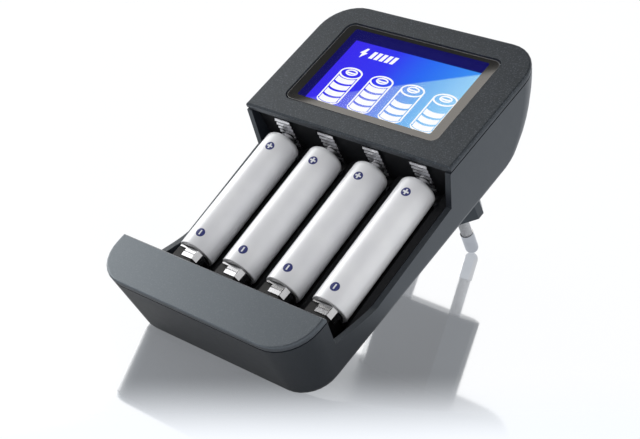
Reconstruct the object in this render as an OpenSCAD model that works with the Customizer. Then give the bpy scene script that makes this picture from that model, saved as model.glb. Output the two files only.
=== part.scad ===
// Plug-in charger with four sloped bays, a head with a display and a round-pin mains plug.
// It lies on its back, resting on the lip's lower edge and on the tips of the pins.

/* [Housing] */
// Width across the face
body_w = 73; // [72:0.5:80]
// Height from the back to the face
body_h = 22.5; // [22:0.5:26]
// Depth of the front lip
lip_d = 13.8; // [13.4:0.2:17]
// Clear length between the lip and the head
bay_l = 52.2; // [51.8:0.2:54]
// Length of the head behind the bays' contact wall
head_l = 43.85; // [43:0.05:52]
// Wall thickness of the housing
wall = 1.8; // [1.4:0.1:2]
// Corner radius at the face
corner_r = 11; // [8:0.5:13]
// Corner radius of the lip at the back
lip_corner_r = 9.2; // [7:0.2:12]
// Corner radius of the head at the back
rear_corner_r = 15; // [10:0.5:17]
// How far each side leans in at the back
side_lean = 3; // [2:0.1:3.4]
// How far the lip's front leans in at the back
front_lean = 2; // [1:0.1:2.4]
// Length of the rounded rear end
rear_reach = 16; // [12:0.5:18]
// Edge radius round the back
edge_r = 2.5; // [1.5:0.1:3]
// Height of the side walls where they meet the lip
rail_h = 11.8; // [9:0.1:14]
// How far behind the lip the side walls come down to the deck
gusset_l = 16; // [10:0.5:24]
// How far the head's cheeks reach forward at the deck
cheek = 3; // [1:0.2:6]

/* [Cover] */
// Thickness of the cover over the head and the lip
cover_t = 1.9; // [1.6:0.1:2.4]
// Edge radius of the cover
cover_edge_r = 0.8; // [0.4:0.1:1.2]
// Height and depth of the groove between cover and housing
reveal = 0.4; // [0.2:0.1:0.6]

/* [Bays] */
// Distance between neighbouring bays
bay_pitch = 16.2; // [16:0.1:16.4]
// Radius of the troughs
bay_r = 7.5; // [7.3:0.1:7.6]
// Rise of the bays towards the head, in degrees
bay_slope = 4.65; // [3.6:0.05:5]
// Height of the troughs' floor at the lip
bay_floor = 2.95; // [2.9:0.05:3.2]
// Depth of the troughs below the deck
trough_d = 3; // [2.6:0.1:3.4]
// Room behind a long cell at the lip
long_cell_room = 3.4; // [3.2:0.1:4]

/* [Cells] */
// Length of the longest cell that fits
long_cell_l = 49.9; // [49.5:0.1:50.5]
// Length of the cells
cell_l = 43.7; // [43.3:0.1:44.5]
// Diameter of the cells
cell_d = 10.5; // [10:0.1:10.5]
// Diameter of the cells' raised pole
nub_d = 3.8; // [3:0.1:4.4]
// Height of the cells' raised pole with its collar
nub_h = 1.9; // [1.2:0.1:2.2]

/* [Contacts] */
// Width of the ribbed contact strips
strip_w = 5.6; // [4.6:0.1:6.4]
// Thickness of the contact strips
strip_t = 0.4; // [0.3:0.05:0.5]
// Depth of the strips' ribs
rib_d = 0.2; // [0.1:0.05:0.3]
// Width of the sliding blocks
slider_w = 7.6; // [7:0.1:7.8]
// Sheet thickness of the clips on the sliding blocks
clip_t = 0.5; // [0.4:0.05:0.5]
// Outside diameter of the slider springs
spring_d = 5.2; // [4.8:0.1:5.4]
// Wire diameter of the slider springs
wire_d = 0.5; // [0.4:0.05:0.55]

/* [Display] */
// Width of the lens' seat in the face
recess_w = 54; // [50:0.5:55]
// Length of the lens' seat in the face
recess_l = 32; // [30:0.2:33]
// Distance from the bays' contact wall to the lens' seat
recess_gap = 4.85; // [4.4:0.05:5.4]
// Width of the ledge that carries the lens
ledge = 2.7; // [2:0.1:3]
// How far the lens lies below the face
lens_drop = 0.3; // [0.2:0.05:0.4]
// Thickness of the lens
lens_t = 1; // [0.8:0.1:1.2]
// Thickness of the display glass
glass_t = 2.2; // [1.8:0.1:2.4]
// Thickness of the backlight
backlight_t = 2.4; // [2:0.1:2.6]

/* [Plug] */
// Width of the plug block
plug_w = 35.4; // [34:0.2:38]
// Thickness of the plug block
plug_t = 13.8; // [13.4:0.2:15]
// Width of the plug block's flat ends
plug_end = 2.4; // [2.2:0.1:5]
// How far the plug block stands out of the back
plug_h = 23.6; // [20:0.2:28]
// Distance from the bays' contact wall to the pins
pin_gap_y = 18.85; // [17.8:0.05:20]
// Diameter of the pins
pin_d = 4; // [4:0.1:4.8]
// Length of the pins
pin_l = 19; // [18:0.5:20]
// Diameter of the pins' collars
sleeve_d = 3.4; // [3.2:0.1:3.6]
// Length of the pins' collars
sleeve_l = 10.8; // [9:0.2:11]
// Distance between the pins at the plug block
pin_span = 18.6; // [18:0.1:19]
// Distance between the pins at their tips
pin_tip_span = 17.5; // [17:0.1:18.6]

/* [Inside] */
// Thickness of the main board
board_t = 1.6; // [1:0.1:1.8]
// Height of the main board's underside
board_z = 6.8; // [6:0.1:7]
// Thickness of the display board
display_board_t = 1; // [0.8:0.1:1.2]
// Diameter of the filter capacitor
capacitor_d = 8; // [6.3:0.1:8.4]
// Length of the filter capacitor
capacitor_l = 14; // [10:0.5:18]
// Diameter of the mains leads
lead_d = 1.6; // [1.2:0.1:2]

/* [Hidden] */

$fn = 48;

charcoal = [0.26, 0.27, 0.29];
black_plastic = [0.07, 0.07, 0.08];
nickel = [0.80, 0.81, 0.82];
pearl = [0.86, 0.87, 0.88];
board_green = [0.10, 0.33, 0.20];
sleeve_grey = [0.70, 0.71, 0.72];

// Small working values
fit = 0.15;
touch = 0.05;
over = 1;
far = 300;

// Main places along the body, from the lip's front, and up from the back
bays = 4;
head_y = lip_d + bay_l;
rim_z = body_h - cover_t;

// Rounded outline of the body at a height, drawn in by given amounts
corner_steps = 8;

function mix(from, to, share) = from + (to - from) * share;

function lean_at(z) = 1 - z / body_h;

function half_width(z) = body_w / 2 - side_lean * lean_at(z);

function rear_y(z) = body_l - rear_reach * (1 - sqrt(max(0, 1 - pow(lean_at(z), 2))));

function arc_points(cx, cy, r, from) = [
    for (k = [0 : corner_steps])
        let (a = from + 90 * k / corner_steps)
        [cx + r * cos(a), cy + r * sin(a)]
];

function outline(z, inset, rear_inset) =
    let (
        hw = half_width(z) - inset,
        y0 = front_lean * lean_at(z) + inset,
        y1 = rear_y(z) - rear_inset,
        rf = mix(corner_r, lip_corner_r, lean_at(z)) - inset,
        rr = mix(corner_r, rear_corner_r, lean_at(z)) - inset
    )
    concat(
        arc_points(hw - rr, y1 - rr, rr, 0),
        arc_points(rr - hw, y1 - rr, rr, 90),
        arc_points(rf - hw, y0 + rf, rf, 180),
        arc_points(hw - rf, y0 + rf, rf, 270)
    );

// Solid through a stack of outlines, each level being [height, inset, rear inset]
module loft(levels) {
    rings = [for (v = levels) [for (p = outline(v[0], v[1], v[2])) [p.x, p.y, v[0]]]];
    n = len(rings[0]);
    last = (len(rings) - 1) * n;
    polyhedron(
        points = [for (ring = rings) each ring],
        faces = concat(
            [[for (k = [0 : n - 1]) k]],
            [[for (k = [n - 1 : -1 : 0]) last + k]],
            [
                for (i = [0 : len(rings) - 2], k = [0 : n - 1])
                    let (a = i * n + k, b = i * n + (k + 1) % n)
                    each [[a, a + n, b + n], [a, b + n, b]]
            ]
        )
    );
}

// Levels of the outer body, of its inside and of the cover
edge_steps = 4;
side_steps = 6;
inner_edge_r = max(0.4, edge_r - wall);
rear_wall = 1.6 * wall;

function round_in(depth, r) = r - sqrt(max(0, r * r - depth * depth));

function edge_heights(r) = [for (k = [0 : edge_steps]) r * (1 - cos(90 * k / edge_steps))];

body_levels = concat(
    [for (z = edge_heights(edge_r)) [z, round_in(edge_r - z, edge_r), 0]],
    [for (k = [1 : side_steps]) [mix(edge_r, rim_z, k / side_steps), 0, 0]]
);

function inside_levels(gap) = concat(
    [
        for (z = edge_heights(inner_edge_r))
            [wall + z, wall + gap + round_in(inner_edge_r - z, inner_edge_r), rear_wall + gap]
    ],
    [
        for (k = [1 : side_steps])
            [mix(wall + inner_edge_r, rim_z + (gap > 0 ? 0 : over), k / side_steps), wall + gap, rear_wall + gap]
    ]
);

cover_edge_z = body_h - cover_edge_r;
cover_levels = concat(
    [[rim_z, reveal, reveal], [rim_z + reveal, reveal, reveal], [rim_z + reveal, 0, 0]],
    [
        for (k = [0 : 3])
            let (a = 30 * k)
            [
                cover_edge_z + cover_edge_r * sin(a),
                cover_edge_r * (1 - cos(a)),
                cover_edge_r * (1 - cos(a))
            ]
    ]
);

// Box between two corners
module span(low, high) translate(low) cube(high - low);

// Outline in the side view, [along, up], pushed out across the body
module across(points, x0, x1)
    translate([x0, 0, 0])
    rotate([90, 0, 90])
    linear_extrude(x1 - x0)
    polygon(points);

// Outline in the front view, [across, up], pushed out along the body
module along(points, y0, y1)
    translate([0, y1, 0])
    rotate([90, 0, 0])
    linear_extrude(y1 - y0)
    polygon(points);

function bay_x(i) = (i - (bays + 1) / 2) * bay_pitch;

// Frame of a bay: along the trough from the lip's rear face, up from the trough's floor
module in_bay(i) translate([bay_x(i), lip_d, bay_floor]) rotate([bay_slope, 0, 0]) children();

function bay_to_body(along, up) = [
    lip_d + along * cos(bay_slope) - up * sin(bay_slope),
    bay_floor + along * sin(bay_slope) + up * cos(bay_slope)
];

// Cells lie on the troughs' floor and reach the ribbed strips
cell_r = cell_d / 2;
cell_start = long_cell_room + long_cell_l - cell_l;
slide_travel = long_cell_l - cell_l;
nub_low = bay_to_body(cell_start + cell_l, cell_r - nub_d / 2);
flat_end = bay_to_body(cell_start, cell_r);
flat_end_top = bay_to_body(cell_start, cell_d);

// Ribbed strips stand before the head wall of the tray
strip_y = nub_low[0] + touch;
head_wall_y = strip_y + rib_d + strip_t + touch;
head_wall_t = 1.5;
body_l = head_wall_y + head_l;
strip_top_z = rim_z - 0.9;
strip_bend_z = nub_low[1] - nub_d / 4;
strip_lean = 0.4;
strip_ribs = 7;
strip_foot_z = board_z + board_t;
strip_foot_l = 3.2;
strip_heel_z = strip_foot_z + strip_t + 0.5;

// Sliding blocks, their clips and their channels under the lip
clip_y = flat_end_top[0] - touch;
bump_h = flat_end[0] - clip_y - touch;
slider_front_y = clip_y - clip_t;
channel_gap = 0.3;
channel_hw = slider_w / 2 + clip_t + channel_gap;
channel_floor = bay_floor + 0.25;
slider_z0 = channel_floor + channel_gap;
slider_top = 12;
window_top = slider_top + clip_t + 0.6;
tray_y0 = front_lean + wall + fit;
spring_wall = 1.2;
channel_y0 = tray_y0 + spring_wall;
slider_y0 = channel_y0 + slide_travel + channel_gap;
spring_z = (slider_z0 + slider_top) / 2;
spring_bore_r = spring_d / 2 + 0.3;
spring_pocket = 6;
clip_left = -0.8;
clip_top_l = 2.8;
clip_crease = 1.3;
clip_slit = 0.3;
clip_side_h = 3;
clip_fold = [0.9, 1.4];

// Tray walls
lip_wall = 1.5;
lip_guard_z = 14;
guide_z = 6;
lip_chamfer = 0.5;

// Screws from the back into the tray
screw_x = bay_pitch;
screw_ys = [tray_y0 + 4.9, head_wall_y - 7.35];
screw_r = 1;
screw_head_r = 1.85;
screw_head_h = 1.5;
screw_l = 7;
screw_boss_r = 3.1;
screw_boss_h = 2.9;
counterbore = 1.7;
screw_post_r = 2.9;

// Display stack below the cover
recess_y = head_wall_y + recess_gap + recess_l / 2;
recess_r = 2.5;
lead_in = 0.25;
window_w = recess_w - 2 * ledge;
window_l = recess_l - 2 * ledge;
lens_top = body_h - lens_drop;
lens_seat = lens_top - lens_t - touch;
display_w = window_w + 4;
display_l = window_l + 3;
glass_top = rim_z - 1.15;
backlight_top = glass_top - glass_t;
display_board_top = backlight_top - backlight_t;
display_board_z = display_board_top - display_board_t;
frame_w = display_w + 0.4;
frame_l = display_l + 0.4;
frame_t = 1.1;
rubber_w = 1.6;
rubber_inset = 1;
clip_tab_w = 8;
clip_tab_t = 1.2;
clip_tab_h = 4;

// Plug block and pins
pin_y = head_wall_y + pin_gap_y;
plug_wall = 2;
plug_floor = 4.4;
flange = 1.5;
flange_t = 1.4;
pin_root_r = 2.3;
pin_core_r = 1.4;
pin_tail_l = 2;
pin_toe_in = atan((pin_span - pin_tip_span) / 2 / pin_l);

// Main board and what it carries
board_margin = 5.6;
board_x = half_width(board_z) - wall - board_margin;
board_y0 = head_wall_y + head_wall_t + 0.6;
board_y1 = body_l - 10.4;
post_x = board_x - 4;
post_ys = [board_y0 + 3, board_y1 - 5];
post_r = 2.2;
transformer_size = [13, 12.4];
lead_room = 1.4;
transformer_at = [-(pin_span + lead_d + transformer_size[0]) / 2 - lead_room, pin_y + 0.4];
transformer_z = [wall + flange_t + 0.6, display_board_z - 0.4];
bobbin_rim = 1.4;
bobbin_t = 1.2;

// Resting pose: a line under the lip's back edge and the pins' tips is the floor
pin_tip_r = pin_d / 2;
lip_edge = [front_lean * lean_at(edge_r) + edge_r, edge_r];
pin_tip = [pin_y, -plug_h - (pin_l - pin_tip_r) * cos(pin_toe_in)];
rest_reach = norm(pin_tip - lip_edge);
rest_tilt = atan2(lip_edge[1] - pin_tip[1], pin_tip[0] - lip_edge[0])
    - asin((edge_r - pin_tip_r) / rest_reach);

function turned(p) = [
    p[0] * cos(rest_tilt) - p[1] * sin(rest_tilt),
    p[0] * sin(rest_tilt) + p[1] * cos(rest_tilt)
];

floor_z = turned(lip_edge)[1] - edge_r;
front_most = turned([front_lean * lean_at(cover_edge_z) + cover_edge_r, cover_edge_z])[0] - cover_edge_r;
rear_most = turned(pin_tip)[0] + pin_tip_r;

module resting()
    translate([0, -(front_most + rear_most) / 2, -floor_z])
    rotate([rest_tilt, 0, 0])
    children();

// Flattened hexagon of the plug block, grown by a margin
module plug_outline(grow)
    polygon([
        for (side = [1, -1])
            each [
                [side * (plug_w / 2 + grow), -side * (plug_end / 2 + grow / 2)],
                [side * (plug_w / 2 + grow), side * (plug_end / 2 + grow / 2)],
                [side * (plug_w / 2 - (plug_t - plug_end) / 2), side * (plug_t / 2 + grow)],
                [-side * (plug_w / 2 - (plug_t - plug_end) / 2), side * (plug_t / 2 + grow)]
            ]
    ]);

module screw_places()
    for (x = [-screw_x, screw_x], y = screw_ys)
        translate([x, y, 0]) children();

// Top line of the side walls: down from the lip, along the deck and up to the head
gusset_steps = 8;
gusset_curve = 1.2;
function deck_z(y) = bay_floor + trough_d / cos(bay_slope) + (y - lip_d) * tan(bay_slope);
side_line = concat(
    [
        for (k = [0 : gusset_steps])
            let (s = k / gusset_steps, y = lip_d + gusset_l * s)
            [y, deck_z(y) + (rail_h - deck_z(lip_d)) * pow(1 - s, gusset_curve)]
    ],
    [[head_y - cheek, deck_z(head_y - cheek)], [head_y, body_h]]
);

module rear_housing() color(charcoal) resting()
    difference() {
        union() {
            difference() {
                loft(body_levels);
                loft(inside_levels(0));
            }
            screw_places() cylinder(r = screw_boss_r, h = screw_boss_h);
            for (x = [-post_x, post_x], y = post_ys)
                translate([x, y, wall / 2]) cylinder(r = post_r, h = board_z - wall / 2);
        }
        across(concat([[lip_d, far]], side_line, [[head_y, far]]), -body_w, body_w);
        translate([0, pin_y, -over]) linear_extrude(wall + 2 * over) plug_outline(fit);
        screw_places() {
            translate([0, 0, -over]) cylinder(r = screw_r + fit, h = far);
            translate([0, 0, -over]) cylinder(r = screw_head_r + fit, h = counterbore + over);
        }
    }

// Rounded plate about the middle of the display
module display_slab(w, l, r, z, h)
    translate([0, recess_y, z])
    linear_extrude(h)
    hull()
    for (x = [-1, 1], y = [-1, 1])
        translate([x * (w / 2 - r), y * (l / 2 - r)]) circle(r, $fn = 32);

module front_cover() color(charcoal) resting()
    difference() {
        union() {
            intersection() {
                loft(cover_levels);
                span([-body_w, head_y, 0], [body_w, body_l + over, far]);
            }
            difference() {
                span(
                    [-frame_w / 2 - frame_t, recess_y - frame_l / 2 - frame_t, display_board_z],
                    [frame_w / 2 + frame_t, recess_y + frame_l / 2 + frame_t, rim_z + touch]
                );
                span(
                    [-frame_w / 2, recess_y - frame_l / 2, 0],
                    [frame_w / 2, recess_y + frame_l / 2, rim_z]
                );
            }
            for (side = [-1, 1], y = [recess_y - 8, recess_y + 8])
                translate([
                    side * (half_width(rim_z - clip_tab_h) - wall - fit - clip_tab_t / 2),
                    y,
                    rim_z - clip_tab_h / 2
                ])
                cube([clip_tab_t, clip_tab_w, clip_tab_h + touch], center = true);
        }
        display_slab(window_w, window_l, recess_r - 1, rim_z - over, far);
        hull() {
            display_slab(recess_w, recess_l, recess_r, lens_seat, touch);
            display_slab(recess_w + 2 * lead_in, recess_l + 2 * lead_in, recess_r + lead_in, body_h, touch);
        }
        across([
            [head_y - over, body_h - lip_chamfer - over],
            [head_y - over, body_h + over],
            [head_y + lip_chamfer + over, body_h + over]
        ], -body_w, body_w);
    }

// Space of the bays above the deck and in the troughs
module bay_space()
    intersection() {
        span([-far, lip_d, 0], [far, head_wall_y, far]);
        union() {
            in_bay((bays + 1) / 2) span([-far, -over, trough_d], [far, far, far]);
            for (i = [1 : bays])
                in_bay(i)
                translate([0, long_cell_room - over, bay_r])
                rotate([-90, 0, 0])
                cylinder(r = bay_r, h = far);
        }
    }

module slider_channels()
    for (i = [1 : bays])
        span(
            [bay_x(i) - channel_hw, channel_y0, channel_floor],
            [bay_x(i) + channel_hw, flat_end[0], window_top]
        );

// Hollow under each trough, open to the back
relief_hw = 4.4;
relief_skin = 1.6;
module tray_reliefs()
    for (i = [1 : bays])
        across([
            bay_to_body(cell_start + cell_l / 2, -relief_skin),
            bay_to_body(cell_start + cell_l - over, -relief_skin),
            [head_wall_y - over, 0],
            [bay_to_body(cell_start + cell_l / 2, 0)[0], 0]
        ], bay_x(i) - relief_hw, bay_x(i) + relief_hw);

fin_l = 1.2;
fin_h = 0.8;
fin_t = 0.8;
module cell_fins()
    intersection() {
        loft(inside_levels(fit));
        for (i = [1 : bays], side = [-1, 1])
            in_bay(i)
            translate([side * (cell_r + 0.7), cell_start + cell_l - 5, trough_d - touch])
            translate([-fin_t / 2, 0, 0])
            cube([fin_t, fin_l, fin_h]);
    }

module battery_tray() color(charcoal) resting()
    union() {
        difference() {
            intersection() {
                span([-body_w, tray_y0, wall], [body_w, head_wall_y + head_wall_t, rim_z]);
                loft(inside_levels(fit));
            }
            bay_space();
            slider_channels();
            difference() {
                span([-far, -far, guide_z], [far, lip_d - lip_wall, far]);
                span([-far, -far, 0], [far, channel_y0, lip_guard_z]);
                screw_places() cylinder(r = screw_post_r, h = lip_guard_z);
            }
            tray_reliefs();
            for (i = [1 : bays])
                span(
                    [bay_x(i) - strip_w / 2 - fit, head_wall_y - over, strip_foot_z - fit],
                    [bay_x(i) + strip_w / 2 + fit, far, strip_foot_z + strip_t + 2 * fit]
                );
            screw_places() {
                cylinder(r = screw_boss_r + fit, h = screw_boss_h);
                cylinder(r = screw_r + touch, h = counterbore + screw_l);
            }
        }
        difference() {
            intersection() {
                loft(cover_levels);
                span([-body_w, -over, 0], [body_w, lip_d, far]);
            }
            across([
                [lip_d + over, body_h - lip_chamfer - over],
                [lip_d + over, body_h + over],
                [lip_d - lip_chamfer - over, body_h + over]
            ], -body_w, body_w);
        }
        cell_fins();
    }

module display_plate(w, l, top, t)
    translate([-w / 2, recess_y - l / 2, top - t]) cube([w, l, t]);

module display_lens() color([0.75, 0.85, 0.95, 0.35]) resting()
    display_slab(recess_w - 2 * fit, recess_l - 2 * fit, recess_r - fit, lens_top - lens_t, lens_t);

module lcd_panel() color([0.12, 0.20, 0.80]) resting()
    union() {
        display_plate(display_w - 1, display_l - 0.4, backlight_top + glass_t / 2, glass_t / 2);
        display_plate(display_w - 1, display_l - 2.4, glass_top, glass_t / 2);
    }

module backlight() color([0.92, 0.94, 0.98]) resting()
    display_plate(window_w, display_l - 2 * (rubber_inset + rubber_w + 0.3), backlight_top, backlight_t);

module contact_rubbers() color([0.85, 0.45, 0.55]) resting()
    for (side = [-1, 1])
        translate([0, recess_y + side * (display_l / 2 - rubber_inset - rubber_w / 2), display_board_top])
        translate([-window_w / 2, -rubber_w / 2, 0])
        cube([window_w, rubber_w, backlight_t]);

module display_board() color(board_green) resting()
    display_plate(frame_w - 0.3, frame_l - 0.3, display_board_top, display_board_t);

module transformer_block(grow, z0, z1) {
    reach = transformer_size / 2 + [grow, grow];
    span(concat(transformer_at - reach, z0), concat(transformer_at + reach, z1));
}

module main_board() color(board_green) resting()
    difference() {
        span([-board_x, board_y0, board_z], [board_x, board_y1, board_z + board_t]);
        transformer_block(fit, 0, far);
        for (x = [-post_x, post_x], y = post_ys)
            translate([x, y, 0]) cylinder(r = screw_r, h = far);
    }

// Ferrite core sunk through the board, carried by the bobbin's rim on top of it
module transformer() color([0.55, 0.40, 0.12]) resting()
    union() {
        transformer_block(0, transformer_z[0], transformer_z[1]);
        transformer_block(bobbin_rim, board_z + board_t, board_z + board_t + bobbin_t);
    }

module filter_capacitor() color([0.12, 0.13, 0.30]) resting()
    translate([0, pin_y, board_z - capacitor_l])
    rotate_extrude()
    polygon([
        [0, 0],
        [capacitor_d / 2 - 0.6, 0],
        [capacitor_d / 2, 0.6],
        [capacitor_d / 2, capacitor_l - 2.2],
        [capacitor_d / 2 - 0.4, capacitor_l - 1.8],
        [capacitor_d / 2, capacitor_l - 1.4],
        [capacitor_d / 2, capacitor_l],
        [0, capacitor_l]
    ]);

// Side view of a ribbed strip: a leaning crest line, an upright and a foot on the board
strip_rows = 2 * strip_ribs;
function strip_line(k) = [
    strip_y - strip_lean * (1 - k / strip_rows) + (k % 2) * rib_d,
    mix(strip_top_z, strip_bend_z, k / strip_rows)
];
strip_front = [for (k = [0 : strip_rows]) strip_line(k)];
strip_heel_y = strip_y + rib_d;
module positive_contact(i)
    color(nickel) resting()
    across(
        concat(
            strip_front,
            [
                [strip_y, strip_heel_z],
                [strip_heel_y, strip_foot_z + strip_t],
                [strip_heel_y, strip_foot_z],
                [board_y0 + strip_foot_l, strip_foot_z],
                [board_y0 + strip_foot_l, strip_foot_z + strip_t],
                [strip_heel_y + strip_t, strip_foot_z + strip_t],
                [strip_y + strip_t, strip_heel_z]
            ],
            [for (k = [strip_rows : -1 : 0]) strip_front[k] + [strip_t, 0]]
        ),
        bay_x(i) - strip_w / 2,
        bay_x(i) + strip_w / 2
    );

module slider(i)
    color(black_plastic) resting()
    translate([bay_x(i), 0, 0])
    difference() {
        span([-slider_w / 2, slider_y0, slider_z0], [slider_w / 2, slider_front_y, slider_top]);
        translate([0, slider_y0 - over, spring_z])
        rotate([-90, 0, 0])
        cylinder(r = spring_bore_r, h = spring_pocket + over);
        across([
            [slider_y0 - over, slider_top - over],
            [slider_y0 - over, slider_top + over],
            [slider_y0 + over, slider_top + over]
        ], -far, far);
        along([
            [slider_w / 2 - clip_fold[0], slider_top + touch],
            [slider_w / 2 + touch, slider_top + touch],
            [slider_w / 2 + touch, slider_top - clip_fold[1]]
        ], -far, far);
    }

// Folded clip: a front plate with a contact bump, a creased top and a folded ear behind a slit
clip_top = slider_top + clip_t;
clip_right = slider_w / 2 + clip_t;
module negative_contact(i)
    color(nickel) resting()
    translate([bay_x(i), 0, 0])
    union() {
        along([
            [-slider_w / 2 + 0.6, slider_z0 + 1.2],
            [clip_right, slider_z0 + 1.2],
            [clip_right, clip_top - clip_fold[1]],
            [clip_right - clip_fold[0], clip_top],
            [-slider_w / 2 + 0.6, clip_top]
        ], slider_front_y, clip_y);
        across([
            [clip_y, slider_top],
            [clip_y, slider_top + clip_t],
            [clip_y - clip_crease, slider_top + clip_t],
            [clip_y - clip_crease - 0.15, slider_top + clip_t / 2],
            [clip_y - clip_crease - 0.3, slider_top + clip_t],
            [clip_y - clip_top_l, slider_top + clip_t * 0.7],
            [clip_y - clip_top_l, slider_top]
        ], clip_left, clip_right - clip_fold[0] - clip_slit);
        along([
            [clip_right - clip_fold[0], clip_top],
            [clip_right, clip_top - clip_fold[1]],
            [clip_right, slider_top - clip_side_h],
            [slider_w / 2, slider_top - clip_side_h],
            [slider_w / 2, clip_top - clip_fold[1]],
            [slider_w / 2 - clip_fold[0] + 0.4, clip_top]
        ], clip_y - clip_top_l, slider_front_y + touch);
        translate([0, clip_y - touch, flat_end[1]])
        rotate([-90, 0, 0])
        cylinder(r1 = 1.8, r2 = 0.9, h = bump_h + touch);
    }

// Coil spring swept along a helix, from the lip's spring wall into the sliding block
spring_turns = 8;
turn_steps = 10;
wire_sides = 5;
spring_from = channel_y0 + wire_d / 2 + touch;
spring_to = slider_y0 + spring_pocket - wire_d / 2 - touch;
function wire_ring(k) =
    let (
        a = 360 * k / turn_steps,
        y = mix(spring_from, spring_to, k / (spring_turns * turn_steps)),
        r = spring_d / 2 - wire_d / 2
    )
    [
        for (j = [0 : wire_sides - 1])
            let (b = 360 * j / wire_sides, q = r + wire_d / 2 * cos(b))
            [q * cos(a), y + wire_d / 2 * sin(b), spring_z + q * sin(a)]
    ];
module slider_spring(i)
    color(nickel) resting()
    translate([bay_x(i), 0, 0]) {
        rows = spring_turns * turn_steps;
        last = rows * wire_sides;
        polyhedron(
            points = [for (k = [0 : rows]) each wire_ring(k)],
            faces = concat(
                [[for (j = [wire_sides - 1 : -1 : 0]) j]],
                [[for (j = [0 : wire_sides - 1]) last + j]],
                [
                    for (k = [0 : rows - 1], j = [0 : wire_sides - 1])
                        let (a = k * wire_sides + j, b = k * wire_sides + (j + 1) % wire_sides)
                        each [[a, b, b + wire_sides], [a, b + wire_sides, a + wire_sides]]
                ]
            )
        );
    }

// Sealed can with a flat pole, a rounded shoulder, a collar and a raised pole
can_base_r = cell_r - 1;
base_step = 0.25;
shoulder_r = 1.8;
shoulder_z = cell_l - nub_h;
ring_r = nub_d / 2 + 0.6;
ring_h = 0.5;
module cell(i)
    color(pearl) resting()
    in_bay(i)
    translate([0, cell_start, cell_r])
    rotate([-90, 0, 0])
    rotate_extrude()
    polygon(concat(
        [[0, 0], [can_base_r, 0], [can_base_r, base_step]],
        [
            for (k = [0 : 3])
                let (a = 30 * k)
                [cell_r - base_step * (1 - sin(a)), base_step * (2 - cos(a))]
        ],
        [
            for (k = [0 : 6])
                let (a = 15 * k)
                [cell_r - shoulder_r * (1 - cos(a)), shoulder_z - shoulder_r * (1 - sin(a))]
        ],
        [
            [ring_r, shoulder_z],
            [ring_r, shoulder_z + ring_h],
            [nub_d / 2, shoulder_z + ring_h],
            [nub_d / 2, cell_l - base_step],
            [nub_d / 2 - base_step, cell_l],
            [0, cell_l]
        ]
    ));

module pin_place(side)
    translate([side * pin_span / 2, pin_y, -plug_h])
    rotate([0, side * pin_toe_in, 0])
    children();

module plug_block() color(charcoal) resting()
    difference() {
        union() {
            translate([0, pin_y, -plug_h]) linear_extrude(plug_h + wall + touch) plug_outline(0);
            translate([0, pin_y, wall]) linear_extrude(flange_t) plug_outline(flange);
        }
        translate([0, pin_y, plug_floor - plug_h]) linear_extrude(far) plug_outline(-plug_wall);
        for (side = [-1, 1])
            pin_place(side) {
                translate([0, 0, -over]) cylinder(r = pin_root_r + fit / 5, h = far);
            }
    }

module plug_pin(side)
    color(nickel) resting()
    pin_place(side)
    rotate_extrude()
    polygon(concat(
        [[0, plug_floor + pin_tail_l], [0, -pin_l]],
        [
            for (k = [1 : 6])
                let (a = 15 * k)
                [pin_tip_r * sin(a), -pin_l + pin_tip_r * (1 - cos(a))]
        ],
        [
            [pin_tip_r, -sleeve_l],
            [pin_core_r, -sleeve_l],
            [pin_core_r, 0],
            [pin_root_r, 0],
            [pin_root_r, plug_floor - over],
            [pin_core_r, plug_floor],
            [pin_core_r, plug_floor + pin_tail_l]
        ]
    ));

module pin_sleeve(side)
    color(sleeve_grey) resting()
    pin_place(side)
    translate([0, 0, -sleeve_l + fit / 5])
    difference() {
        cylinder(d = sleeve_d, h = sleeve_l - fit / 5);
        translate([0, 0, -over]) cylinder(r = pin_core_r + fit / 5, h = sleeve_l + 2 * over);
    }

lead_z = plug_floor + pin_tail_l - plug_h + touch;
module mains_lead(side)
    color([0.35, 0.20, 0.12]) resting()
    translate([side * (pin_span / 2 + (plug_floor + pin_tail_l) * sin(pin_toe_in)), pin_y, lead_z])
    cylinder(d = lead_d, h = board_z - lead_z);

module housing_screws() color([0.55, 0.56, 0.58]) resting()
    screw_places()
    translate([0, 0, counterbore - screw_head_h])
    rotate_extrude()
    polygon([
        [0, 0],
        [screw_head_r - 0.3, 0],
        [screw_head_r, 0.4],
        [screw_head_r, screw_head_h],
        [screw_r, screw_head_h],
        [screw_r, screw_l],
        [0, screw_l + screw_r / 2]
    ]);

rear_housing();
front_cover();
battery_tray();
display_lens();
lcd_panel();
backlight();
contact_rubbers();
display_board();
main_board();
transformer();
filter_capacitor();
plug_block();
plug_pin(-1);  // plug_pin_left
plug_pin(1);  // plug_pin_right
pin_sleeve(-1);  // pin_sleeve_left
pin_sleeve(1);  // pin_sleeve_right
mains_lead(-1);  // mains_lead_left
mains_lead(1);  // mains_lead_right
housing_screws();
positive_contact(1);  // positive_contact_1
positive_contact(2);  // positive_contact_2
positive_contact(3);  // positive_contact_3
positive_contact(4);  // positive_contact_4
slider(1);  // slider_1
slider(2);  // slider_2
slider(3);  // slider_3
slider(4);  // slider_4
negative_contact(1);  // negative_contact_1
negative_contact(2);  // negative_contact_2
negative_contact(3);  // negative_contact_3
negative_contact(4);  // negative_contact_4
slider_spring(1);  // slider_spring_1
slider_spring(2);  // slider_spring_2
slider_spring(3);  // slider_spring_3
slider_spring(4);  // slider_spring_4
cell(1);  // cell_1
cell(2);  // cell_2
cell(3);  // cell_3
cell(4);  // cell_4
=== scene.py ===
import math

import bpy
from mathutils import Matrix, Vector


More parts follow.
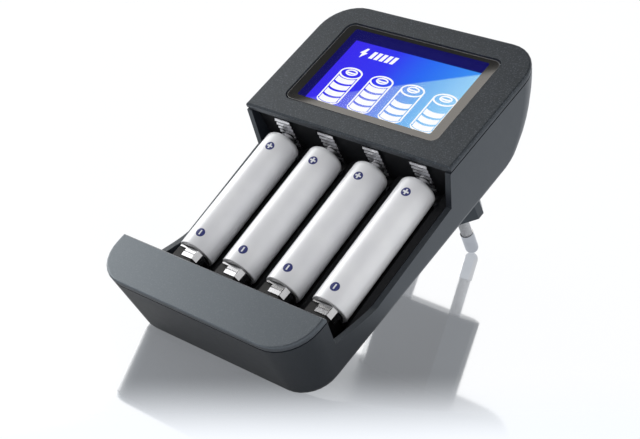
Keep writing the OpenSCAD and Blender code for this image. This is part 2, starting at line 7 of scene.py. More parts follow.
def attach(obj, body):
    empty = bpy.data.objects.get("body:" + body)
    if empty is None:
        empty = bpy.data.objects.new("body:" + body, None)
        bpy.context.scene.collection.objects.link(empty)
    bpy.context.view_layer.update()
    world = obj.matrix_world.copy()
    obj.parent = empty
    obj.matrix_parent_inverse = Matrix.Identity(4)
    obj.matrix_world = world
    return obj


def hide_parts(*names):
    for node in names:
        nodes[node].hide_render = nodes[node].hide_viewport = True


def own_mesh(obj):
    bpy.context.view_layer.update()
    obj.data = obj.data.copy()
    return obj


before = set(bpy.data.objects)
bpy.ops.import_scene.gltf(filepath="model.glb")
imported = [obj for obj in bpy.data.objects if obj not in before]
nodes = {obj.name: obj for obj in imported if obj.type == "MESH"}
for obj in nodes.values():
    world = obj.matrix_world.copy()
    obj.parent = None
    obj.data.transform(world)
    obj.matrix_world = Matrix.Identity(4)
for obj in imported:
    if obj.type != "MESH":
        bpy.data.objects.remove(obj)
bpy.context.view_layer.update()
scene = bpy.context.scene
scene.view_settings.view_transform = "Standard"

# The body's own frame: x to the right, y from the lip to the head, z from the back to the face, in mm
REST_TILT = math.radians(27.435010)
REST_TURN = Matrix.Rotation(REST_TILT, 3, "X")
REST_SHIFT = Vector((0.0, -43.592984, -1.689788))


def place(x, y, z):
    """Row-frame point, in metres, of a point in the body's own frame, in mm."""
    return (REST_TURN @ Vector((x, y, z)) + REST_SHIFT) / 1000


def in_body(point):
    """Point in the body's own frame, in mm, of a row-frame point, in metres."""
    return REST_TURN.inverted() @ (Vector(point) * 1000 - REST_SHIFT)


ACROSS = Vector((1, 0, 0))
ALONG = REST_TURN @ Vector((0, 1, 0))

# Bays and cells, in mm
BAYS = range(1, 5)
BAY_MIDDLE = 2.5
BAY_PITCH = 16.2
BAY_SLOPE = math.radians(4.65)
BAY_FLOOR = 2.95
LIP_D = 13.8
CELL_START = 9.6
CELL_R = 5.25
CELL_L = 43.7
COLLAR_TOP = 42.25
POLE_DEPTH = 0.3
FLAT_POLE_R = CELL_R - 0.9
RAISED_POLE_R = 2.0


def on_cell(bay, along, angle, lift):
    """Point on a cell's sleeve.

    It is along mm from the flat pole and lift mm above the sleeve, at an angle from the top towards +x.
    """
    r = CELL_R + lift
    x = (bay - BAY_MIDDLE) * BAY_PITCH + r * math.sin(angle)
    a = CELL_START + along
    up = CELL_R + r * math.cos(angle)
    y = LIP_D + a * math.cos(BAY_SLOPE) - up * math.sin(BAY_SLOPE)
    z = BAY_FLOOR + a * math.sin(BAY_SLOPE) + up * math.cos(BAY_SLOPE)
    return place(x, y, z)


# Camera at the photograph's angle
CAMERA_AT = place(253.224, -116.302, 279.560)
CAMERA_AZIMUTH = math.radians(42.79)
CAMERA_ELEVATION = math.radians(23.55)
FITTED_TILT = math.radians(28.19)
CAMERA_LENS = 85.714
CAMERA_SENSOR = 36
CAMERA_NEAR = 0.01

camera_data = bpy.data.cameras.new("camera")
camera_data.sensor_width = CAMERA_SENSOR
camera_data.lens = CAMERA_LENS
camera_data.clip_start = CAMERA_NEAR
camera = bpy.data.objects.new("camera", camera_data)
scene.collection.objects.link(camera)
camera_turn = Matrix.Rotation(CAMERA_AZIMUTH, 4, "Z")
camera_dip = Matrix.Rotation(math.pi / 2 - CAMERA_ELEVATION, 4, "X")
body_turn = Matrix.Rotation(REST_TILT - FITTED_TILT, 4, "X")
camera.matrix_world = Matrix.Translation(CAMERA_AT) @ body_turn @ camera_turn @ camera_dip
scene.camera = camera


# Materials
def material(name):
    """New material with its node tree and its surface shader."""
    mat = bpy.data.materials.new(name)
    mat.use_nodes = True
    return mat, mat.node_tree, mat.node_tree.nodes["Principled BSDF"]


def node(tree, kind, **settings):
    """New node with the settings given."""
    made = tree.nodes.new(kind)
    for key, value in settings.items():
        setattr(made, key, value)
    return made


def noise(tree, scale, detail=3.0):
    """Noise fixed to the object, with patches of about 1 / scale metres."""
    coords = node(tree, "ShaderNodeTexCoord")
    made = node(tree, "ShaderNodeTexNoise")
    made.inputs["Scale"].default_value = scale
    made.inputs["Detail"].default_value = detail
    tree.links.new(coords.outputs["Object"], made.inputs["Vector"])
    return made.outputs["Fac"]


def ramp(tree, source, stops):
    """Colour picked from stops of place and colour."""
    made = node(tree, "ShaderNodeValToRGB")
    elements = made.color_ramp.elements
    while len(elements) < len(stops):
        elements.new(0.5)
    for element, (at, colour) in zip(elements, stops):
        element.position = at
        element.color = colour if len(colour) == 4 else (*colour, 1)
    tree.links.new(source, made.inputs["Fac"])
    return made.outputs["Color"]


def linear(r, g, b):
    """Linear colour of an sRGB one given in 0 to 255."""
    return tuple(
        c / 12.92 if c <= 0.04045 else ((c + 0.055) / 1.055) ** 2.4 for c in (r / 255, g / 255, b / 255)
    )


def shade(colour, factor):
    return tuple(c * factor for c in colour)


def grey(value):
    return (value,) * 3


def varied(tree, scale, low, high, detail=3.0):
    """Colour that wanders between two with the noise."""
    return ramp(tree, noise(tree, scale, detail), list(zip(PATCH_STEP, (low, high))))


# Scales of the patches, per metre, and the steps and strengths that go with them
PATCH_STEP = (0.3, 0.7)
TONE_SCALE = 55
GLOSS_SCALE = 400
GRAIN_SCALE = 2600
SPECK_SCALE = 2800
SPECK_STEP = (0.54, 0.68)
TONE_SPREAD = 0.06
GLOSS_SPREAD = 0.04
BUMP_STRENGTH = 0.5
FINE_GRAIN = 0.00002
WEAR_SCALE = 300
FINE_SCALE = 900
PEARL_SCALE = 160
PEARL_GLOSS_SCALE = 700
PEARL_GLOSS = (0.33, 0.38)
PEARL_COAT = 0.9
PEARL_COAT_ROUGHNESS = 0.24
INK_SHADE = 0.9
NEUTRAL = (1.0, 1.0, 1.0)


def moulded(name, colour, roughness, grain=FINE_GRAIN, specular=0.5, tint=NEUTRAL, speck=0.3):
    """Moulded plastic: fine eroded grain with specks, slow changes of tone and of gloss."""
    mat, tree, bsdf = material(name)
    bsdf.inputs["Specular IOR Level"].default_value = specular
    bsdf.inputs["Specular Tint"].default_value = (*tint, 1)
    tone = varied(tree, TONE_SCALE, shade(colour, 1 - TONE_SPREAD), shade(colour, 1 + TONE_SPREAD))
    specks = ramp(tree, noise(tree, SPECK_SCALE, 1.0), list(zip(SPECK_STEP, (grey(0.0), grey(1.0)))))
    tree.links.new(mixed(tree, specks, tone, shade(colour, 1 + speck)), bsdf.inputs["Base Color"])
    low, high = roughness * (1 - GLOSS_SPREAD), roughness * (1 + GLOSS_SPREAD)
    tree.links.new(varied(tree, GLOSS_SCALE, grey(low), grey(high)), bsdf.inputs["Roughness"])
    bump = node(tree, "ShaderNodeBump")
    bump.inputs["Strength"].default_value = BUMP_STRENGTH
    bump.inputs["Distance"].default_value = grain
    tree.links.new(noise(tree, GRAIN_SCALE, 2.0), bump.inputs["Height"])
    tree.links.new(bump.outputs["Normal"], bsdf.inputs["Normal"])
    return mat


def plated(name, colour, roughness, wear=0.08):
    """Bright plated metal with faint rolling marks."""
    mat, tree, bsdf = material(name)
    bsdf.inputs["Metallic"].default_value = 1.0
    tone = varied(tree, WEAR_SCALE, shade(colour, 1 - wear), colour)
    tree.links.new(tone, bsdf.inputs["Base Color"])
    low, high = roughness * (1 - 2 * wear), roughness * (1 + 2 * wear)
    tree.links.new(varied(tree, FINE_SCALE, grey(low), grey(high)), bsdf.inputs["Roughness"])
    return mat


def pearl(name):
    """Pearl sleeve of the cells: pale base with a clear coat and a faint shimmer."""
    mat, tree, bsdf = material(name)
    tone = varied(tree, PEARL_SCALE, linear(230, 231, 235), linear(236, 237, 240), detail=1.0)
    tree.links.new(tone, bsdf.inputs["Base Color"])
    low, high = PEARL_GLOSS
    tree.links.new(varied(tree, PEARL_GLOSS_SCALE, grey(low), grey(high)), bsdf.inputs["Roughness"])
    bsdf.inputs["Coat Weight"].default_value = PEARL_COAT
    bsdf.inputs["Coat Roughness"].default_value = PEARL_COAT_ROUGHNESS
    return mat


def printed(name, colour, roughness=0.35):
    """Ink on a smooth surface, a little uneven."""
    mat, tree, bsdf = material(name)
    tone = varied(tree, FINE_SCALE, shade(colour, INK_SHADE), colour)
    tree.links.new(tone, bsdf.inputs["Base Color"])
    bsdf.inputs["Roughness"].default_value = roughness
    return mat


def mapped(tree, source, span, to=(0.0, 1.0), kind="LINEAR"):
    """Value that runs between the two ends of to while the source crosses the span."""
    made = node(tree, "ShaderNodeMapRange", interpolation_type=kind)
    for socket, value in zip(("From Min", "From Max", "To Min", "To Max"), (*span, *to)):
        made.inputs[socket].default_value = value
    tree.links.new(source, made.inputs["Value"])
    return made.outputs["Result"]


def position(tree, axis, origin, low, high):
    """0 to 1 between two places along an axis of the body, measured from a row-frame point, in metres."""
    coords = node(tree, "ShaderNodeTexCoord")
    dot = node(tree, "ShaderNodeVectorMath", operation="DOT_PRODUCT")
    tree.links.new(coords.outputs["Object"], dot.inputs[0])
    dot.inputs[1].default_value = axis
    base = Vector(origin).dot(Vector(axis))
    return mapped(tree, dot.outputs["Value"], (base + low / 1000, base + high / 1000))


def mixed(tree, factor, first, second):
    """Mix of two colours, each a socket or a fixed colour."""
    made = node(tree, "ShaderNodeMix", data_type="RGBA")
    colour_inputs = [s for s in made.inputs if s.type == "RGBA"]
    tree.links.new(factor, made.inputs[0])
    for socket, value in zip(colour_inputs, (first, second)):
        if isinstance(value, tuple):
            socket.default_value = (*value, 1)
        else:
            tree.links.new(value, socket)
    return [s for s in made.outputs if s.type == "RGBA"][0]


def calc(tree, operation, first, second):
    """Result of an operation on two values, each a socket or a fixed number."""
    made = node(tree, "ShaderNodeMath", operation=operation)
    for socket, value in zip(made.inputs, (first, second)):
        if isinstance(value, (int, float)):
            socket.default_value = value
        else:
            tree.links.new(value, socket)
    return made.outputs[0]


def blend(tree, share, first, second):
    """Mix of two shaders."""
    made = node(tree, "ShaderNodeMixShader")
    for socket, value in zip(made.inputs, (share, first, second)):
        tree.links.new(value, socket)
    return made.outputs[0]


# Lit display: violet on the left to sky blue on the right, with a painted glare, a paler wedge below its
# diagonal
LIT_X = (-23.4, 22.4)
LIT_Y = (75.6, 100.8)
DISPLAY_Z = 19.45
LIT_EDGE = 0.25
GLARE_EDGE = 0.015
UNLIT = linear(22, 20, 96)
DEEP_GLASS = (0.004, 0.004, 0.02)
LIT_GLOW = 0.95
ICON_GLOW = 0.98
BORDER_GLOW = 0.9
BORDER_SHADE = 0.85
BORDER_SCALE = 200
ICON_SCALE = 500
LENS_SCALE = 120
LENS_IOR = 1.06


def display_material():
    """Lit glass of the display, dark outside its lit field, with a painted glare below its diagonal."""
    mat, tree, bsdf = material("lit_display")
    origin = place(0, 0, DISPLAY_Z)
    u = position(tree, ACROSS, origin, *LIT_X)
    v = position(tree, ALONG, origin, *LIT_Y)
    deep = ramp(tree, u, [
        (0.0, linear(60, 44, 240)),
        (0.35, linear(54, 56, 245)),
        (0.62, linear(44, 108, 246)),
        (1.0, linear(62, 152, 246)),
    ])
    # Painted glare: this paler copy of the colours, mixed in below the diagonal, stands in for a
    # reflection on the lens
    painted_glare = ramp(tree, u, [
        (0.1, linear(92, 84, 240)),
        (0.45, linear(124, 142, 240)),
        (0.75, linear(120, 186, 244)),
        (1.0, linear(156, 214, 250)),
    ])
    below = mapped(tree, calc(tree, "SUBTRACT", u, v), (-GLARE_EDGE, GLARE_EDGE))
    lit = mixed(tree, below, deep, painted_glare)
    inside = None
    for axis, (low, high) in ((ACROSS, LIT_X), (ALONG, LIT_Y)):
        for edge, step in ((low, LIT_EDGE), (high, -LIT_EDGE)):
            share = position(tree, axis, origin, edge, edge + step)
            inside = share if inside is None else calc(tree, "MULTIPLY", inside, share)
    colour = mixed(tree, inside, UNLIT, lit)
    tree.links.new(colour, bsdf.inputs["Emission Color"])
    bsdf.inputs["Emission Strength"].default_value = LIT_GLOW
    bsdf.inputs["Base Color"].default_value = (*DEEP_GLASS, 1)
    bsdf.inputs["Specular IOR Level"].default_value = 0.0
    return mat


def lens_material():
    """Clear plastic with little gloss of its own."""
    mat, tree, bsdf = material("clear_lens")
    bsdf.inputs["Transmission Weight"].default_value = 1.0
    bsdf.inputs["IOR"].default_value = LENS_IOR
    tone = varied(tree, LENS_SCALE, (0.985, 0.99, 1.0), NEUTRAL)
    tree.links.new(tone, bsdf.inputs["Base Color"])
    bsdf.inputs["Roughness"].default_value = 0.0
    return mat


def lit_white():
    """White signs of the display."""
    mat, tree, bsdf = material("display_white")
    tone = varied(tree, ICON_SCALE, (0.94, 0.95, 1.0), NEUTRAL)
    tree.links.new(tone, bsdf.inputs["Emission Color"])
    bsdf.inputs["Emission Strength"].default_value = ICON_GLOW
    bsdf.inputs["Base Color"].default_value = (*grey(0.05), 1)
    bsdf.inputs["Specular IOR Level"].default_value = 0.0
    return mat


def glowing_border():
    """Faint blue of the display's rim under the lens, made to glow as painted light for the backlit
    border.
    """
    mat, tree, bsdf = material("glowing_border")
    tone = varied(tree, BORDER_SCALE, shade(UNLIT, BORDER_SHADE), UNLIT)
    tree.links.new(tone, bsdf.inputs["Emission Color"])
    bsdf.inputs["Emission Strength"].default_value = BORDER_GLOW
    bsdf.inputs["Base Color"].default_value = (*DEEP_GLASS, 1)
    bsdf.inputs["Specular IOR Level"].default_value = 0.0
    return mat


# Finishes of the pieces
COOL = (0.80, 0.92, 1.0)
COVER_GRAIN = 0.00003
LIP_GRAIN = 0.00005
housing_finish = moulded("charcoal_housing", linear(29, 32, 38), 0.36, specular=0.55, tint=COOL)
cover_finish = moulded(
    "charcoal_cover", linear(34, 37, 42), 0.32, grain=COVER_GRAIN, specular=0.40, tint=COOL, speck=2.2
)
# Painted highlight: the lip's top is a paler copy of the charcoal, standing in for a softbox's reflection
lip_lit_finish = moulded(
    "charcoal_lip_lit", linear(47, 50, 56), 0.34, grain=LIP_GRAIN, specular=1.0, tint=COOL, speck=0.6
)
# Painted shade: the tray is a darker copy of the charcoal, standing in for the shade in the bays
tray_shaded_finish = moulded("charcoal_tray_shaded", linear(17, 18, 21), 0.55, specular=0.2)
slider_finish = moulded("black_slider", linear(11, 11, 12), 0.45, specular=0.25)
nickel_finish = plated("bright_nickel", (0.72, 0.72, 0.73), 0.20)
satin_finish = plated("satin_nickel", (0.84, 0.84, 0.86), 0.26, wear=0.02)
pole_finish = plated("dull_nickel", (0.34, 0.34, 0.35), 0.34)
clip_finish = plated("clip_nickel", (0.52, 0.52, 0.53), 0.18)
pin_finish = plated("pin_nickel", (0.40, 0.41, 0.43), 0.10)
screw_finish = plated("zinc_screw", (0.50, 0.51, 0.53), 0.32)
sleeve_finish = moulded("grey_sleeve", linear(168, 170, 174), 0.45)
pearl_finish = pearl("pearl_sleeve")
board_finish = moulded("solder_mask", linear(24, 88, 52), 0.35)
winding_finish = moulded("amber_tape", linear(186, 140, 40), 0.35)
can_finish = moulded("blue_shrink", linear(30, 34, 92), 0.3)
lead_finish = moulded("brown_lead", linear(96, 60, 36), 0.5)
rubber_finish = moulded("pink_elastomer", linear(206, 130, 146), 0.6)
guide_finish = moulded("white_guide", linear(232, 236, 242), 0.4)
blue_print = printed("blue_print", linear(52, 58, 120))
white_print = printed("white_print", linear(236, 238, 242))
mask_print = printed("black_mask", linear(12, 11, 10), 0.04)
edge_highlight_print = printed("lens_edge_highlight", linear(92, 94, 97), 0.2)
display_finish = display_material()
lens_finish = lens_material()
lit_finish = lit_white()
border_glow_finish = glowing_border()

finishes = {
    "rear_housing": housing_finish,
    "plug_block": housing_finish,
    "front_cover": cover_finish,
    "battery_tray": tray_shaded_finish,
    "display_lens": lens_finish,
    "lcd_panel": display_finish,
    "backlight": guide_finish,
    "contact_rubbers": rubber_finish,
    "display_board": board_finish,
    "main_board": board_finish,
    "transformer": winding_finish,
    "filter_capacitor": can_finish,
    "plug_pin_left": pin_finish,
    "plug_pin_right": pin_finish,
    "pin_sleeve_left": sleeve_finish,
    "pin_sleeve_right": sleeve_finish,
    "mains_lead_left": lead_finish,
    "mains_lead_right": lead_finish,
    "housing_screws": screw_finish,
}
for bay in BAYS:
    finishes[f"positive_contact_{bay}"] = satin_finish
    finishes[f"negative_contact_{bay}"] = clip_finish
    finishes[f"slider_spring_{bay}"] = nickel_finish
    finishes[f"slider_{bay}"] = slider_finish
    finishes[f"cell_{bay}"] = pearl_finish


SMOOTH_LIMIT = 32
RIBBED_LIMIT = 8


def corner(mesh, index):
    """Place of a vertex in whole micrometres, the same for all faces that meet there."""
    return tuple(round(c * 1e6) for c in mesh.vertices[index].co)


def soften(obj, limit):
    """Shading normals that run smoothly over edges flatter than the limit, on the mesh as it is.

    Each face counts by the area of the whole flat it belongs to, so that flats stay flat.
    """
    mesh = obj.data
    flats = {}
    flat_of = []
    for face in mesh.polygons:
        offset = face.normal.dot(face.center)
        flat = (*(round(c, 3) for c in face.normal), round(offset * 1e5))
        flats[flat] = flats.get(flat, 0.0) + face.area
        flat_of.append(flat)
    around = {}
    for face in mesh.polygons:
        for index in face.vertices:
            flat = flat_of[face.index]
            around.setdefault(corner(mesh, index), {})[flat] = (face.normal.copy(), flats[flat])
    least = math.cos(math.radians(limit))
    normals = []
    for face in mesh.polygons:
        for index in face.vertices:
            total = Vector()
            for normal, area in around[corner(mesh, index)].values():
                if normal.dot(face.normal) >= least:
                    total += normal * area
            normals.append(total.normalized() if total.length > 0 else face.normal.copy())
    mesh.polygons.foreach_set("use_smooth", [True] * len(mesh.polygons))
    mesh.normals_split_custom_set(normals)


for name, finish in finishes.items():
    mesh = nodes[name].data
    mesh.materials.clear()
    mesh.materials.append(finish)
    soften(nodes[name], RIBBED_LIMIT if name.startswith("positive_contact") else SMOOTH_LIMIT)

# Bare metal at the cells' two poles
for bay in BAYS:
    mesh = nodes[f"cell_{bay}"].data
    mesh.materials.append(pole_finish)
    flat_pole = on_cell(bay, 0, 0, -CELL_R)
    raised_pole = on_cell(bay, CELL_L, 0, -CELL_R)
    axis = (raised_pole - flat_pole).normalized()
    for face in mesh.polygons:
        offset = Vector(face.center) - flat_pole
        along = offset.dot(axis) * 1000
        radius = (offset - axis * offset.dot(axis)).length * 1000
        if along < POLE_DEPTH and radius < FLAT_POLE_R:
            face.material_index = 1
        if along > COLLAR_TOP and radius < RAISED_POLE_R:
            face.material_index = 1

# The lip's top has a grain like the cover's, and a paler copy of the charcoal as a painted highlight,
# brighter than the cover of the same plastic
LIP_TOP_Z = 19.5
LIP_MARGIN = 0.3
mesh = nodes["battery_tray"].data
mesh.materials.append(lip_lit_finish)
for face in mesh.polygons:
    at = in_body(face.center)
    if at.y < LIP_D + LIP_MARGIN and at.z > LIP_TOP_Z:
        face.material_index = 1

# Springs of the sliding contacts, as copies with meshes of their own that ride on the charger
for bay in BAYS:
    solid = nodes[f"slider_spring_{bay}"]
    spring = bpy.data.objects.new(f"spring_{bay}", solid.data.copy())
    scene.collection.objects.link(spring)
    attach(spring, "charger")
    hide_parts(solid.name)
    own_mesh(spring)


# Printed and lit marks
def add_piece(name, vertices, faces, finish, body="charger"):
    """Thin sheet that rides on a body."""
    mesh = bpy.data.meshes.new(name)
    mesh.from_pydata([tuple(v) for v in vertices], [], faces)
    mesh.update()
    mesh.materials.append(finish)
    obj = bpy.data.objects.new(name, mesh)
    scene.collection.objects.link(obj)
    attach(obj, body)


# Plus and minus on the cells: a blue disc with white bars, in mm from its middle
MARK_ANGLE = 0.214
MARK_R = 1.3
DISC_LIFT = 0.03
BAR_LIFT = 0.055
MINUS_AT = 4.45
MINUS_HALF = (0.75, 0.22)
PLUS_AT = 36.3
PLUS_HALF = (0.85, 0.24)


def mark_point(bay, at, along, across, lift):
    """Point of a mark whose middle is at mm from the flat pole."""
    return on_cell(bay, at + along, MARK_ANGLE + across / CELL_R, lift)


def mark_disc(bay, name, at, rings=3, steps=40):
    """Disc bent round the sleeve."""
    vertices = [mark_point(bay, at, 0, 0, DISC_LIFT)]
    faces = []
    for ring in range(1, rings + 1):
        r = MARK_R * ring / rings
        for k in range(steps):
            a = 2 * math.pi * k / steps
            vertices.append(mark_point(bay, at, r * math.cos(a), r * math.sin(a), DISC_LIFT))
    for k in range(steps):
        faces.append((0, 1 + k, 1 + (k + 1) % steps))
    for ring in range(1, rings):
        for k in range(steps):
            first = 1 + (ring - 1) * steps
            a, b = first + k, first + (k + 1) % steps
            faces.append((a, a + steps, b + steps, b))
    add_piece(f"{name}_disc_{bay}", vertices, faces, blue_print)


def mark_bar(bay, name, at, half_along, half_across, columns=8):
    """Bar bent round the sleeve."""
    vertices, faces = [], []
    for k in range(columns + 1):
        across = half_across * (2 * k / columns - 1)
        vertices.append(mark_point(bay, at, -half_along, across, BAR_LIFT))
        vertices.append(mark_point(bay, at, half_along, across, BAR_LIFT))
    for k in range(columns):
        faces.append((2 * k, 2 * k + 1, 2 * k + 3, 2 * k + 2))
    add_piece(f"{name}_{bay}", vertices, faces, white_print)


for bay in BAYS:
    mark_disc(bay, "minus", MINUS_AT)
    mark_bar(bay, "minus_bar", MINUS_AT, *MINUS_HALF)
    mark_disc(bay, "plus", PLUS_AT)
    mark_bar(bay, "plus_bar_along", PLUS_AT, *PLUS_HALF)
    mark_bar(bay, "plus_bar_across", PLUS_AT, *PLUS_HALF[::-1])

# Battery icons on the display, with their place across and their number of bars
ICONS = ((-15.85, 4), (-4.65, 4), (6.4, 3), (17.6, 3))
ICON_LIFT = DISPLAY_Z + 0.02
ICON_HALF = 4.0
ICON_LOW = 77.9
ICON_HIGH = 88.6
ICON_DIP = 1.9
ICON_RISE = 0.35
LINE = 0.55
DIP_MARGIN = 0.05
POLE_RING = (2.1, 1.2, 0.5)
POLE_HALF = 1.5
POLE_LOW = 1.75
POLE_HIGH = 2.3
BAR_ROWS = 4
BAR_START = 0.75
BAR_ROOM = 0.6
BAR_GAP = 0.7
BAR_MARGIN = 0.3


class Drawing:
    """Flat lines and fields at one height over the body's back, in the body's own x and y."""

    def __init__(self, height=ICON_LIFT):
        self.height = height
        self.vertices = []
        self.faces = []

    def strip(self, left, right, closed=False):
        """Field between two lines of points."""
        base = len(self.vertices)
        for a, b in zip(left, right):
            self.vertices += [place(*a, self.height), place(*b, self.height)]
        count = len(left)
        for k in range(count if closed else count - 1):
            a, b = base + 2 * k, base + 2 * ((k + 1) % count)
            self.faces.append((a, a + 1, b + 1, b))

    def ring(self, x, y, rx, ry, line, steps=36):
        """Oval line."""
        turns = [2 * math.pi * k / steps for k in range(steps)]
        inner = [(x + (rx - line) * math.cos(t), y + (ry - line) * math.sin(t)) for t in turns]
        outer = [(x + rx * math.cos(t), y + ry * math.sin(t)) for t in turns]
        self.strip(inner, outer, closed=True)

    def band(self, x, half, low, high, steps=18):
        """Field between two heights, both dipped like the icon's lower end."""
        spans = [x + half * (2 * k / steps - 1) for k in range(steps + 1)]
        dips = [ICON_DIP * math.sqrt(1 - ((s - x) / (ICON_HALF + DIP_MARGIN)) ** 2) for s in spans]
        lower = [(s, low - d) for s, d in zip(spans, dips)]
        upper = [(s, high - d) for s, d in zip(spans, dips)]
        self.strip(lower, upper)


def battery_icon(index, x, bars):
    """Standing cell in outline, with a raised pole and some bars in it."""
    drawing = Drawing()
    for side in (-1, 1):
        outer, inner = x + side * ICON_HALF, x + side * (ICON_HALF - LINE)
        ends = [(outer, ICON_LOW), (outer, ICON_HIGH)], [(inner, ICON_LOW), (inner, ICON_HIGH)]
        drawing.strip(*(ends if side < 0 else ends[::-1]))
    drawing.band(x, ICON_HALF, ICON_LOW, ICON_LOW + LINE)
    drawing.ring(x, ICON_HIGH, ICON_HALF, ICON_DIP + ICON_RISE, LINE)
    drawing.ring(x, ICON_HIGH + ICON_RISE, *POLE_RING)
    drawing.band(x, POLE_HALF, ICON_HIGH + POLE_LOW, ICON_HIGH + POLE_HIGH)
    step = (ICON_HIGH - ICON_LOW - BAR_ROOM) / BAR_ROWS
    for bar in range(bars):
        low = ICON_LOW + BAR_START + bar * step
        drawing.band(x, ICON_HALF - LINE - BAR_MARGIN, low, low + step - BAR_GAP)
    add_piece(f"battery_icon_{index}", drawing.vertices, drawing.faces, lit_finish)


for index, (x, bars) in enumerate(ICONS, 1):
    battery_icon(index, x, bars)

# Dark frame printed on the lens, its paler edge as a painted highlight, and a sheet under it that glows
# as painted light for the display's backlit border
FRAME_LIFT = 0.02
LENS_TOP = 22.2
LENS_X = (-26.8, 26.8)
LENS_Y = (72.4, 104.0)
LENS_R = 2.3
LENS_EDGE = 0.16
WINDOW_X = (-23.6, 23.6)
WINDOW_Y = (74.5, 102.5)
WINDOW_R = 0.6
BORDER_Z = 21.175
BORDER_X = (-23.0, 24.2)
BORDER_Y = (75.0, 100.3)
BORDER_OVER_X = 1.5
BORDER_OVER_Y = 1.0


def inset(span, by):
    """Span drawn in at both ends."""
    return span[0] + by, span[1] - by


def rounded_loop(xs, ys, r, steps=8):
    """Points round a rectangle with rounded corners."""
    left, right = inset(xs, r)
    low, high = inset(ys, r)
    loop = []
    for quarter, (x, y) in enumerate(((right, high), (left, high), (left, low), (right, low))):
        for k in range(steps + 1):
            t = math.pi / 2 * (quarter + k / steps)
            loop.append((x + r * math.cos(t), y + r * math.sin(t)))
    return loop


def lens_frame(name, height, inner, outer, finish):
    """Flat frame between two rounded rectangles."""
    frame_drawing = Drawing(height)
    frame_drawing.strip(rounded_loop(*inner), rounded_loop(*outer), closed=True)
    add_piece(name, frame_drawing.vertices, frame_drawing.faces, finish)


lens_outer = (LENS_X, LENS_Y, LENS_R)
lens_inner = (inset(LENS_X, LENS_EDGE), inset(LENS_Y, LENS_EDGE), LENS_R - LENS_EDGE)
# Painted highlight: the pale ring along the lens edge stands in for light caught by the edge
lens_frame("lens_edge_highlight", LENS_TOP + FRAME_LIFT, lens_inner, lens_outer, edge_highlight_print)
lens_frame("lens_mask", LENS_TOP + FRAME_LIFT, (WINDOW_X, WINDOW_Y, WINDOW_R), lens_inner, mask_print)
border_outer = (inset(WINDOW_X, -BORDER_OVER_X), inset(WINDOW_Y, -BORDER_OVER_Y), WINDOW_R)
# Painted light: this sheet glows navy at the lens ledge to stand in for the display's backlit border
lens_frame("lens_border", BORDER_Z, (BORDER_X, BORDER_Y, WINDOW_R), border_outer, border_glow_finish)

# Bolt and level bars above the icons
LEVEL_LOW = 95.5
LEVEL_HIGH = 98.3
LEVEL_SLANT = 0.55
LEVEL_LEFT = -15.0
LEVEL_STEP = 1.9
LEVEL_W = 1.3
LEVEL_BARS = 5
BOLT_UPPER = ([(-18.9, 96.7), (-17.5, 98.8)], [(-17.2, 96.7), (-16.7, 98.8)])
BOLT_LOWER = ([(-17.9, 94.9), (-18.1, 97.1)], [(-17.9, 94.9), (-16.2, 97.1)])
level = Drawing()
level.strip(*BOLT_UPPER)
level.strip(*BOLT_LOWER)
for bar in range(LEVEL_BARS):
    left = LEVEL_LEFT + LEVEL_STEP * bar
    right = left + LEVEL_W
    level.strip(
        [(left, LEVEL_LOW), (left + LEVEL_SLANT, LEVEL_HIGH)],
        [(right, LEVEL_LOW), (right + LEVEL_SLANT, LEVEL_HIGH)],
    )
add_piece("charge_level", level.vertices, level.faces, lit_finish)

# Floor: white to the camera, a mirror close in front of the charger, and painted shade under it in
# reflections
FLOOR_SIZE = 6
FLOOR_GLOW = 0.85
FLOOR_TINT = (1.0, 1.04, 1.10)
FLOOR_PALE = grey(0.95)
FLOOR_SHADE = grey(0.5)
FLOOR_MIDDLE = (-0.005, -0.032)
FLOOR_REACH = (0.070, 0.042)
FLOOR_EDGE = (0.8, 1.3)
FLOOR_CLEAR = (0.05, 1.0)
FLOOR_MIRROR = 0.78
MIRROR_ROUGHNESS = 0.06
MIRROR_TOWARDS = (0.679, -0.734, 0.0)
MIRROR_FADE = (0.038, 0.072)
MIRROR_SLANT = (0.33, 0.45)
bpy.ops.mesh.primitive_plane_add(size=FLOOR_SIZE, location=(0, 0, 0))
floor = bpy.context.object
floor.name = "floor"
floor_finish, tree, bsdf = material("pale_floor")
tree.nodes.remove(bsdf)
output = [n for n in tree.nodes if n.type == "OUTPUT_MATERIAL"][0]
diffuse = node(tree, "ShaderNodeBsdfDiffuse")
glow = node(tree, "ShaderNodeEmission")
glow.inputs["Color"].default_value = (*FLOOR_TINT, 1)
gloss = node(tree, "ShaderNodeBsdfGlossy")
gloss.inputs["Roughness"].default_value = MIRROR_ROUGHNESS
gloss.inputs["Color"].default_value = (*NEUTRAL, 1)
path = node(tree, "ShaderNodeLightPath")
coords = node(tree, "ShaderNodeTexCoord")
spread = node(tree, "ShaderNodeVectorMath", operation="MULTIPLY_ADD")
spread.inputs[1].default_value = (1 / FLOOR_REACH[0], 1 / FLOOR_REACH[1], 0)
spread.inputs[2].default_value = (-FLOOR_MIDDLE[0] / FLOOR_REACH[0], -FLOOR_MIDDLE[1] / FLOOR_REACH[1], 0)
tree.links.new(coords.outputs["Object"], spread.inputs[0])
around = node(tree, "ShaderNodeVectorMath", operation="LENGTH")
tree.links.new(spread.outputs["Vector"], around.inputs[0])
clear = mapped(tree, around.outputs["Value"], FLOOR_EDGE, FLOOR_CLEAR, "SMOOTHSTEP")
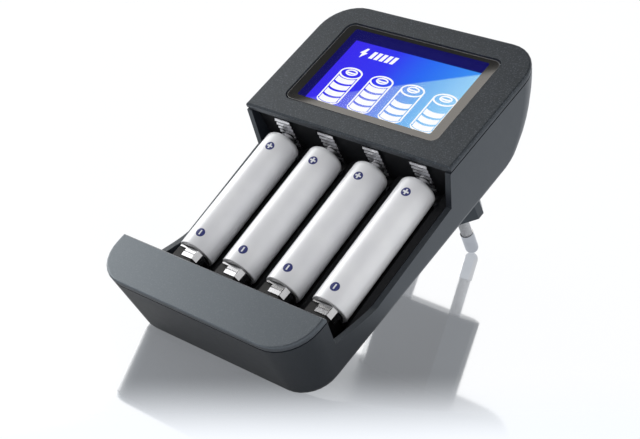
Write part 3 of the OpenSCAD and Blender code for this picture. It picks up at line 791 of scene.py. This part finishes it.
# Painted shade: near the charger the floor turns dim grey for glossy rays, standing in for its shadow in
# reflections
in_gloss = calc(tree, "MULTIPLY", path.outputs["Is Glossy Ray"], clear)
near = calc(tree, "SUBTRACT", path.outputs["Is Glossy Ray"], in_gloss)
tree.links.new(mixed(tree, near, FLOOR_PALE, FLOOR_SHADE), diffuse.inputs["Color"])
in_view = calc(tree, "ADD", path.outputs["Is Camera Ray"], in_gloss)
seen = calc(tree, "ADD", in_view, path.outputs["Is Transmission Ray"])
share = calc(tree, "MULTIPLY", seen, FLOOR_GLOW)
glowing = blend(tree, share, diffuse.outputs[0], glow.outputs[0])
reach = node(tree, "ShaderNodeVectorMath", operation="DOT_PRODUCT")
tree.links.new(coords.outputs["Object"], reach.inputs[0])
reach.inputs[1].default_value = MIRROR_TOWARDS
fade = mapped(tree, reach.outputs["Value"], MIRROR_FADE, (FLOOR_MIRROR, 0.0), "SMOOTHSTEP")
slant = node(tree, "ShaderNodeLayerWeight")
slanted = mapped(tree, slant.outputs["Facing"], MIRROR_SLANT, kind="SMOOTHSTEP")
shown = calc(tree, "MULTIPLY", fade, slanted)
mirrored = calc(tree, "MULTIPLY", shown, path.outputs["Is Camera Ray"])
surface = blend(tree, mirrored, glowing, gloss.outputs[0])
tree.links.new(surface, output.inputs["Surface"])
floor.data.materials.append(floor_finish)

# Studio round the charger: bright at the sides, darker overhead
DOME = ((0.0, 1.0), (0.58, 1.0), (0.72, 0.28), (1.0, 0.24))
world = bpy.data.worlds.new("studio")
scene.world = world
world.use_nodes = True
tree = world.node_tree
background = [n for n in tree.nodes if n.type == "BACKGROUND"][0]
coords = node(tree, "ShaderNodeTexCoord")
upward = node(tree, "ShaderNodeSeparateXYZ")
tree.links.new(coords.outputs["Generated"], upward.inputs[0])
studio = ramp(tree, upward.outputs["Z"], [(height, grey(value)) for height, value in DOME])
tree.links.new(studio, background.inputs["Color"])
background.inputs["Strength"].default_value = 1.0


def soft_lamp(name, at, towards, width, height, power, side=(0, 0, 1)):
    """Soft box: its height runs as near as it can along the side given."""
    data = bpy.data.lights.new(name, "AREA")
    data.shape = "RECTANGLE"
    data.size = width
    data.size_y = height
    data.energy = power
    lamp = bpy.data.objects.new(name, data)
    scene.collection.objects.link(lamp)
    back = (Vector(at) - Vector(towards)).normalized()
    right = Vector(side).cross(back).normalized()
    turn = Matrix((right, back.cross(right), back)).transposed().to_4x4()
    lamp.matrix_world = Matrix.Translation(at) @ turn
    return lamp


# Lamps, with place, aim, width and height in metres and power in watts
LAMPS = {
    "key": ((-0.6, -0.136, 0.504), (0, 0, 0.04), 0.4, 0.3, 0.9),
    "side": ((-0.87, 0.02, 0.36), (0, 0, 0.03), 1.0, 0.42, 4.3),
    "fill": ((0.50, 0.30, 0.70), (0, 0, 0.03), 0.4, 0.4, 1.0),
}
for name, settings in LAMPS.items():
    soft_lamp(name, *settings)

# Card whose edge runs along the lens' diagonal
CARD_EDGE = Vector((-0.54051, 0.15746, 0.76011))
CARD_ALONG = Vector((0.771226, 0.501676, 0.391830))
CARD_ACROSS = Vector((0.340952, -0.845352, 0.411255))
CARD_SIZE = (0.24, 0.09)
CARD_POWER = 0.25
CARD_WARM = (1.0, 0.95, 0.88)
card_at = CARD_EDGE + CARD_ACROSS * (CARD_SIZE[1] / 2)
card_aim = card_at + CARD_ALONG.cross(CARD_ACROSS)
card = soft_lamp("card", card_at, card_aim, *CARD_SIZE, CARD_POWER, side=CARD_ACROSS)
card.data.color = CARD_WARM
